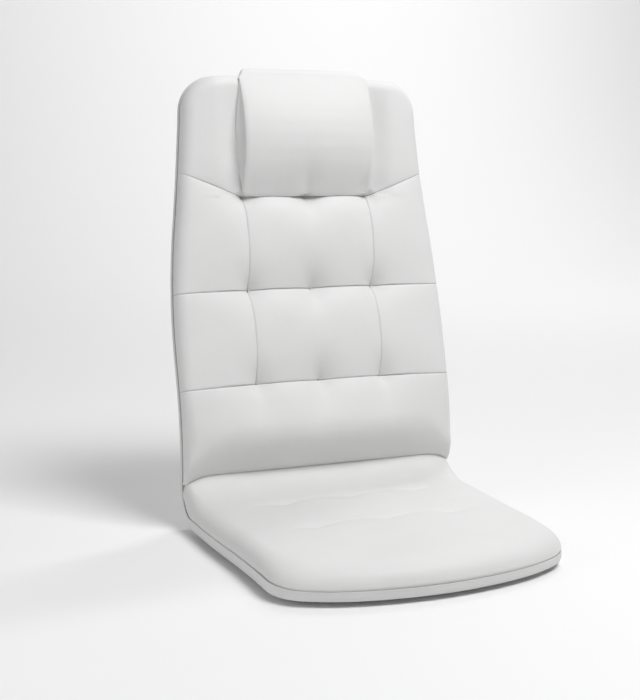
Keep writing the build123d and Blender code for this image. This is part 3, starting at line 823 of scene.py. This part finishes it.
def pillow_front_gap(z):
    """The pillow's front edge in front of the plywood's face, from its foot to its head."""
    heights = [546, 555, 564, 575, 586, 603, 628, 652, 677, 702, 727, 741, 754]
    gaps = [22.5, 26.5, 31, 36.5, 41.5, 48, 53.5, 54.5, 52, 46.0, 36.5, 30.4, 24.0]
    curve = np.interp(z, heights, gaps)
    for shift in (-6.0, -3.0, 3.0, 6.0):
        curve = curve + np.interp(z + shift, heights, gaps)
    return curve / 5


def pillow_rear_gap(z):
    return np.interp(z, [546, 580, 610, 680, 735, 746, 754], [20.7, 25.6, 26.6, 28.9, 28.6, 26.6, 23.0])


def make_pillow():
    u = 2 * crowded(PILLOW_COLUMNS, 12, 12) - 1
    v = crowded(PILLOW_ROWS, 7, 7)
    x, z, distance = rounded_grid(PILLOW_HALF_W, PILLOW_LOW_Z, PILLOW_HIGH_Z, 13, 7, u, v)
    across = np.clip(np.abs(x) / PILLOW_HALF_W, 0, 1)
    tall = np.clip((z - PILLOW_LOW_Z) / (PILLOW_HIGH_Z - PILLOW_LOW_Z), 0, 1)
    upright = np.clip(np.sin(math.pi * tall), 0, 1) ** np.where(tall < 0.5, 0.45, 0.9)
    foot = z - PILLOW_LOW_Z
    wave = 0.6 * np.sin(x / 21 + 0.6) * bell(foot, 26) + 0.3 * np.sin(x / 9.5) * bell(foot, 14)
    front = pillow_front_gap(z) + 10.0 * (1 - across**2.3) * upright + wave
    rear = pillow_rear_gap(z)
    for at, share, wide, high in FOOT_HOLLOWS:
        reach = np.hypot((x - at) / wide, (foot - 2) / high)
        front = rear + (front - rear) * (1 - share * np.exp(-(reach**1.5)))
        z = z + 9 * share * bell(x - at, wide * 0.8) * (1 - smooth(0, 42, foot))
    drop = 3.6 - 3.0 * smooth(722, 748, z)
    front = front - drop * (1 - roll(distance, 8.0, 2.1))
    front = np.maximum(front, rear + 0.35)
    points = at_run(run_of_z(z), x, front)
    free = smooth(2, 24, distance) * smooth(0, 40, foot)
    across_steps, up_steps = even_steps([0, PILLOW_COLUMNS], (32,)), even_steps([0, PILLOW_ROWS], (30,))
    points = settle(points, up_steps, across_steps, rim_held(x), free)
    rows, cols = rim_loop(*x.shape)
    rim_x, rim_z = x[rows, cols], z[rows, cols]
    rim_front, rim_rear = front[rows, cols], rear[rows, cols]
    sideways = np.sign(rim_x) * smooth(60, 116, np.abs(rim_x))
    under = np.clip((rim_front - rim_rear) / 22, 0, 1)
    beside = smooth(575, 600, rim_z) * (1 - smooth(735, 748, rim_z)) * np.abs(sideways)
    rings, near = [], [np.full(x.size, FAR)]
    for k, (share, out, more) in enumerate(PILLOW_SIDE):
        gap = rim_front + (rim_rear - rim_front) * share + more * beside
        rings.append(at_run(run_of_z(rim_z), rim_x + sideways * out * under, gap))
        # painted shade in the undercut below the rim, where the pillow's side turns in
        near.append(np.where((under > 0.2) & (k in PILLOW_UNDERCUT_SHADE_RINGS), 0.2, FAR))
    body = grid_mesh("headrest_pillow_cushion", points, np.concatenate(near), rings)
    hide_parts("pillow_cover", "pillow_foam", "pillow_backing")
    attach(body, "headrest_pillow")
    return body


# ---- strap over the top edge ----
STRAP_HALF_W, STRAP_TAPER = 117.0, 0.125
# the outer and the inner line over the top edge in side view, as y and z
KNOTS_OUT = [(288.9, 736), (290.6, 745), (294.2, 753), (300.2, 760.2), (308, 765), (316.5, 766.6)]
KNOTS_OUT += [(324.5, 765.2), (330.2, 760), (333.4, 751), (333.9, 741)]
KNOTS_IN = [(290.9, 736), (293.0, 743), (297.0, 749), (302.5, 753), (309, 755), (316, 755.5)]
KNOTS_IN += [(322, 755), (327, 752), (330.6, 747), (331.3, 740)]


def strap_line(knots, front_gap, rear_gap):
    """A line up the back's front, over its top by the knots, and down its rear, as y and z."""
    front_z, rear_z = np.linspace(690, 728, 14), np.linspace(732, 656, 20)
    front = at_run(run_of_z(front_z), 0 * front_z, front_gap)[:, 1:]
    rear = at_run(run_of_z(rear_z), 0 * rear_z, rear_gap)[:, 1:]
    return np.concatenate([front, knots, rear])


def refined(line, at):
    """A line whose points lie at the lengths in at, with even, finer steps and its turns eased."""
    line = point_on(line, at, np.linspace(0, at[-1], 130))
    for _ in range(6):
        line[1:-1] = (line[:-2] + 2 * line[1:-1] + line[2:]) / 4
    return line


def make_strap():
    """A band over the back's top edge, its section filled between the outer and the inner line."""
    outer, inner = strap_line(KNOTS_OUT, 28.0, -17.0), strap_line(KNOTS_IN, 26.0, -14.6)
    at = lengths_along(outer)
    outer, inner = refined(outer, at), refined(inner, at)
    u = 2 * crowded(48, 14, 14) - 1
    x = np.repeat(u[None] * STRAP_HALF_W, len(outer), 0)
    thick = np.linalg.norm(outer - inner, axis=1)[:, None]
    share = roll(STRAP_HALF_W - np.abs(x), np.clip(1.1 * thick, 2.0, 12.0))
    ends = np.minimum(np.arange(len(outer)), np.arange(len(outer))[::-1])[:, None]
    share = share * roll(ends, 2.0)
    line = inner[:, None] + (outer - inner)[:, None] * share[..., None]
    x = x * (1 - STRAP_TAPER * np.clip((line[..., 0] - 291) / 42, 0, 1))
    points = np.concatenate([x[..., None], line], -1)
    body = grid_mesh("headrest_strap_band", points)
    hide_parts("headrest_strap")
    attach(body, "chair_body")
    return body


# ---- counterweight pouch ----
POUCH_AT = np.array([0.0, 329.541, 688.632])
POUCH_UP = np.array([0.0, 0.0666, 0.99778])
POUCH_OUT = np.array([0.0, 0.99778, -0.0666])
POUCH_HALF_W, POUCH_HALF_H, POUCH_ZIP_UP, POUCH_ZIP_HALF, POUCH_SEAM = 108.0, 46.0, 22.0, 86.0, 5.5
POUCH_COLUMNS, POUCH_ROWS = 72, 70
# rings round the pouch's side, from its cover's rim down to the back: depth, and way in
POUCH_SIDE = ((8.6, -0.4), (7.6, 0.2), (6.4, -0.3), (3.0, 0.6), (1.0, 2.2), (0.4, 4.0))


def on_pouch(x, up, out):
    """Points given in the pouch's own x, which runs against the frame's, its way up and its way out."""
    points = POUCH_AT + x[..., None] * np.array([-1.0, 0, 0]) + up[..., None] * POUCH_UP
    return points + out[..., None] * POUCH_OUT


def make_pouch():
    u = 2 * crowded(POUCH_COLUMNS, 10, 10) - 1
    v = crowded(POUCH_ROWS, 8, 8)
    x, up, distance = rounded_grid(POUCH_HALF_W, -POUCH_HALF_H, POUCH_HALF_H, 10, 10, u, v)
    heavy = smooth(6, 16, distance) * (1 - smooth(2, 14, up)) * (1 - smooth(72, 92, np.abs(x)))
    out = 10.0 + 6.0 * roll(distance, 9.0, 2.2) + 1.6 * heavy
    out = out - 0.9 * bell(distance - POUCH_SEAM, 0.8)
    out = out - 3.6 * zip_slot(x, up - POUCH_ZIP_UP, POUCH_ZIP_HALF)
    lip = bell(np.abs(up - POUCH_ZIP_UP) - 5.2, 1.2) * (1 - smooth(88, 92, np.abs(x)))
    out = out - 0.35 * lip
    points = on_pouch(x, up, out)[:, ::-1]
    rows, cols = rim_loop(*x.shape)
    rim_x, rim_up = x[:, ::-1][rows, cols], up[:, ::-1][rows, cols]
    rings = []
    for depth, inset in POUCH_SIDE:
        ring_x, ring_up = rim_x * (1 - inset / POUCH_HALF_W), rim_up * (1 - inset / POUCH_HALF_H)
        rings.append(on_pouch(ring_x, ring_up, np.full_like(rim_x, depth)))
    # painted shade along the pouch's seam groove
    near = np.abs(distance - POUCH_SEAM)[:, ::-1]
    body = grid_mesh("counterweight_pouch_cover", points, near, rings)
    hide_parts("pouch_cover", "pouch_padding")
    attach(body, "weight_pouch")
    return body


# ---- materials ----
def feed(node, inputs):
    """Give a node its inputs, as values or as other nodes' sockets."""
    for key, value in inputs.items():
        if isinstance(value, bpy.types.NodeSocket):
            node.id_data.links.new(value, node.inputs[key])
        else:
            node.inputs[key].default_value = value


def new_material(name, colour, roughness, metallic=0.0):
    """A material, its shader, and wire(kind, inputs, setting=...), which adds a node to it."""
    mat = bpy.data.materials.new(name)
    mat.use_nodes = True
    nodes = mat.node_tree.nodes
    shader = nodes["Principled BSDF"]
    feed(shader, {"Base Color": (*colour, 1), "Roughness": roughness, "Metallic": metallic})

    def wire(kind, inputs=None, **settings):
        node = nodes.new("ShaderNode" + kind)
        for key, value in settings.items():
            setattr(node, key, value)
        feed(node, inputs or {})
        return node

    return mat, shader, wire


def maths(wire, operation, *values):
    return wire("Math", dict(enumerate(values)), operation=operation).outputs[0]


def shade_of(colour, factor):
    return (*[min(c * factor, 1) for c in colour], 1)


def ramp(wire, value, ends, colours):
    """A colour that goes from the first to the second between a value's two ends."""
    node = wire("ValToRGB", {"Fac": value})
    for stop, position, colour in zip(node.color_ramp.elements, ends, colours):
        stop.position = position
        stop.color = colour
    return node.outputs["Color"]


def leather(name, colour, roughness=0.56):
    """Smooth dyed leather: fine pebbled grain, faint broad shade, and painted shade down in its seams and
    recesses, set by the near_seam attribute.
    """
    mat, shader, wire = new_material(name, colour, roughness)
    coords = wire("TexCoord").outputs["Object"]
    broad = wire("TexNoise", {"Vector": coords, "Scale": 9.0, "Detail": 3.0}).outputs["Fac"]
    tone = ramp(wire, broad, (0.3, 0.72), (shade_of(colour, 0.972), shade_of(colour, 1.012)))
    pebble = wire("TexVoronoi", {"Vector": coords, "Scale": 820.0}).outputs["Distance"]
    fine = wire("TexNoise", {"Vector": coords, "Scale": 1500.0, "Detail": 2.0}).outputs["Fac"]
    creased = {"Vector": coords, "Scale": 75.0, "Detail": 4.0, "Distortion": 0.6}
    crease = wire("TexNoise", creased).outputs["Fac"]
    grain = maths(wire, "ADD", pebble, fine)
    grain_bump = wire("Bump", {"Height": grain, "Strength": 0.28, "Distance": 0.00006}).outputs["Normal"]
    soft = {"Height": crease, "Strength": 0.22, "Distance": 0.0009, "Normal": grain_bump}
    # painted shade: the colour darkens towards 0.42 of itself where near_seam is small, standing in for the
    # shade in seam grooves and recesses
    near = wire("Attribute", attribute_name="near_seam").outputs["Fac"]
    seam_shade_ramp = {"Value": near, "From Min": 0.15, "From Max": 1.1, "To Min": 0.42, "To Max": 0.0}
    painted_seam_shade = wire("MapRange", seam_shade_ramp).outputs[0]
    mix = wire("Mix", {"Factor": painted_seam_shade}, data_type="RGBA")
    feed(mix, {6: tone, 7: shade_of(colour, 0.42)})
    gloss = {"From Min": 0.3, "From Max": 0.7, "To Min": roughness - 0.03, "To Max": roughness + 0.04}
    rough = wire("MapRange", {"Value": broad, **gloss}).outputs[0]
    feed(shader, {"Base Color": mix.outputs[2], "Roughness": rough, "Specular IOR Level": 0.36})
    feed(shader, {"Normal": wire("Bump", soft).outputs["Normal"]})
    return mat


def textured(name, colour, roughness, texture, depth, low, high, metallic=0.0, spread_rough=0.06):
    """A material whose shade, bump and gloss follow one texture, made by texture(wire)."""
    mat, shader, wire = new_material(name, colour, roughness, metallic)
    value = texture(wire)
    tone = ramp(wire, value, (0.25, 0.75), (shade_of(colour, low), shade_of(colour, high)))
    bump = wire("Bump", {"Height": value, "Strength": 0.6, "Distance": depth}).outputs["Normal"]
    gloss = {"To Min": roughness - spread_rough, "To Max": roughness + spread_rough}
    rough = wire("MapRange", {"Value": value, **gloss}).outputs[0]
    feed(shader, {"Base Color": tone, "Normal": bump, "Roughness": rough})
    return mat


def scaled(wire, along, across):
    """Object coordinates in metres, times one scale along x and another along y and z."""
    coords = wire("TexCoord").outputs["Object"]
    return wire("Mapping", {"Vector": coords, "Scale": (along, across, across)}).outputs["Vector"]


def noise(scale, detail=4.0, distortion=0.0, along=None):
    """Noise, which can be drawn out along x by a lower scale there."""

    def make(wire):
        inputs = {"Scale": 1.0, "Detail": detail, "Distortion": distortion}
        return wire("TexNoise", {"Vector": scaled(wire, along or scale, scale), **inputs}).outputs["Fac"]

    return make


def cells(scale):
    def make(wire):
        return wire("TexVoronoi", {"Vector": scaled(wire, scale, scale), "Scale": 1.0}).outputs["Distance"]

    return make


def twist(pitch):
    def make(wire):
        inputs = {"Vector": scaled(wire, 1 / pitch, 1 / pitch), "Scale": 0.32, "Distortion": 0.4}
        return wire("TexWave", inputs, bands_direction="DIAGONAL").outputs["Fac"]

    return make


def veneer(wire):
    """Long birch grain on the faces and thin glued layers where the board's edge is cut."""
    grain = noise(160.0, 5.0, 0.8, along=7.0)(wire)
    coords = wire("TexCoord").outputs["Object"]
    layers = wire("TexWave", {"Vector": coords, "Scale": 105.0}, bands_direction="Z").outputs["Fac"]
    normal = wire("NewGeometry").outputs["Normal"]
    up = wire("SeparateXYZ", {0: normal}).outputs["Z"]
    flat = maths(wire, "ABSOLUTE", up)
    face = maths(wire, "GREATER_THAN", flat, 0.6)
    return wire("Mix", {0: face, 2: layers, 3: grain}).outputs[0]


TEETH_PITCH, TEETH_HALF, WEAVE_PITCH = 0.0014, 0.0023, 0.0008


def ripple(wire, value, step):
    """A wave from 0 to 1 that repeats every step of a value."""
    wave = maths(wire, "SINE", maths(wire, "MULTIPLY", value, 2 * math.pi / step))
    return wire("MapRange", {"Value": wave, "From Min": -1.0}).outputs[0]


def woven_zip(centre, up):
    """Woven tape with a row of nylon teeth along the middle of a zip that runs along x."""

    def make(wire):
        coords = wire("TexCoord").outputs["Object"]
        along = wire("SeparateXYZ", {0: coords}).outputs["X"]
        away = wire("VectorMath", {0: coords, 1: centre}, operation="SUBTRACT").outputs[0]
        across = wire("VectorMath", {0: away, 1: up}, operation="DOT_PRODUCT").outputs["Value"]
        threads = ripple(wire, along, WEAVE_PITCH), ripple(wire, across, WEAVE_PITCH)
        weave = maths(wire, "MULTIPLY", *threads)
        teeth = maths(wire, "LESS_THAN", maths(wire, "ABSOLUTE", across), TEETH_HALF)
        return wire("Mix", {0: teeth, 2: weave, 3: ripple(wire, along, TEETH_PITCH)}).outputs[0]

    return make


CUSHION_WHITE, OUTER_WHITE = (0.735, 0.734, 0.731), (0.715, 0.714, 0.71)
BIRCH, BOARD_BIRCH, FOAM = (0.62, 0.5, 0.36), (0.56, 0.47, 0.36), (0.82, 0.79, 0.7)
STEEL, OXIDE, ENAMEL = (0.62, 0.63, 0.645), (0.045, 0.045, 0.048), (0.7, 0.7, 0.69)
TWINE, NYLON, TAPE = (0.74, 0.72, 0.66), (0.68, 0.68, 0.655), (0.72, 0.72, 0.7)
REAR_ZIP = woven_zip((0.0, 0.232568, 0.138215), (0.0, 0.04109, 0.99916))
POUCH_ZIP = woven_zip(tuple((POUCH_AT + POUCH_ZIP_UP * POUCH_UP) * MM), tuple(POUCH_UP))

cushion_leather = leather("leather_cushion", CUSHION_WHITE)
outer_leather = leather("leather_outer", OUTER_WHITE)

# the finish that CAD nodes wear, where it isn't the cushions' leather
finishes = {
    ("outer_cover", "pouch_cover", "pillow_backing"): outer_leather,
    ("plywood_shell",): textured("birch_shell", BIRCH, 0.5, veneer, 0.00015, 0.86, 1.08),
    ("seat_board",): textured("birch_board", BOARD_BIRCH, 0.52, veneer, 0.0002, 0.82, 1.08),
    ("rear_foam", "seat_foam", "back_foam", "pillow_foam", "pouch_padding"): textured(
        "cut_foam", FOAM, 0.92, cells(900.0), 0.0004, 0.86, 1.05
    ),
    ("t_nuts", "board_screws"): textured(
        "zinc_plate", STEEL, 0.32, noise(420.0, 3.0), 0.00003, 0.88, 1.08, 1.0, 0.1
    ),
    ("back_tuft_cords", "seat_tuft_cords"): textured(
        "waxed_twine", TWINE, 0.6, twist(0.0014), 0.0003, 0.7, 1.08
    ),
    ("back_tuft_toggles", "seat_tuft_toggles"): textured(
        "moulded_nylon", NYLON, 0.42, noise(260.0, 5.0), 0.00005, 0.95, 1.03
    ),
    ("counterweight",): textured(
        "black_oxide", OXIDE, 0.4, noise(150.0, 5.0), 0.00005, 0.75, 1.3, 0.85, 0.1
    ),
    ("rear_zip_chain",): textured("zip_tape_rear", TAPE, 0.7, REAR_ZIP, 0.0004, 0.7, 1.06),
    ("pouch_zip_chain",): textured("zip_tape_pouch", TAPE, 0.7, POUCH_ZIP, 0.0004, 0.7, 1.06),
    ("rear_zip_slider", "rear_zip_pull", "pouch_zip_slider", "pouch_zip_pull"): textured(
        "white_enamel", ENAMEL, 0.28, noise(900.0, 2.0), 0.000005, 0.98, 1.02
    ),
}
look_of = {node: look for nodes, look in finishes.items() for node in nodes}
for node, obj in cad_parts.items():
    obj.data.materials.clear()
    obj.data.materials.append(look_of.get(node, cushion_leather))

for piece in (make_back_cushion(), make_seat_cushion(), make_pillow(), make_strap()):
    piece.data.materials.append(cushion_leather)
for piece in (make_outer_cover(), make_pouch()):
    piece.data.materials.append(outer_leather)


# ---- floor ----
FLOOR_FRONT, FLOOR_NEAR, SWEEP_Y, SWEEP_R, WALL_TOP, HALF_SPAN = -7.0, -1.0, 3.2, 2.4, 7.0, 9.0
SWEEP_STEPS = 24


def make_backdrop():
    """A pale floor that sweeps up into a wall behind."""
    line = [(FLOOR_FRONT, 0.0), (FLOOR_NEAR, 0.0), (SWEEP_Y, 0.0)]
    for k in range(1, SWEEP_STEPS + 1):
        turn = math.radians(90 * k / SWEEP_STEPS)
        line.append((SWEEP_Y + SWEEP_R * math.sin(turn), SWEEP_R - SWEEP_R * math.cos(turn)))
    line.append((SWEEP_Y + SWEEP_R, WALL_TOP))
    verts = [(x, y, z) for y, z in line for x in (-HALF_SPAN, HALF_SPAN)]
    faces = [(2 * k, 2 * k + 1, 2 * k + 3, 2 * k + 2) for k in range(len(line) - 1)]
    data = bpy.data.meshes.new("backdrop")
    data.from_pydata(verts, [], faces)
    data.polygons.foreach_set("use_smooth", [True] * len(faces))
    data.materials.append(new_material("backdrop_pale", (0.89, 0.89, 0.89), 0.85)[0])
    add_object("backdrop", data)


make_backdrop()
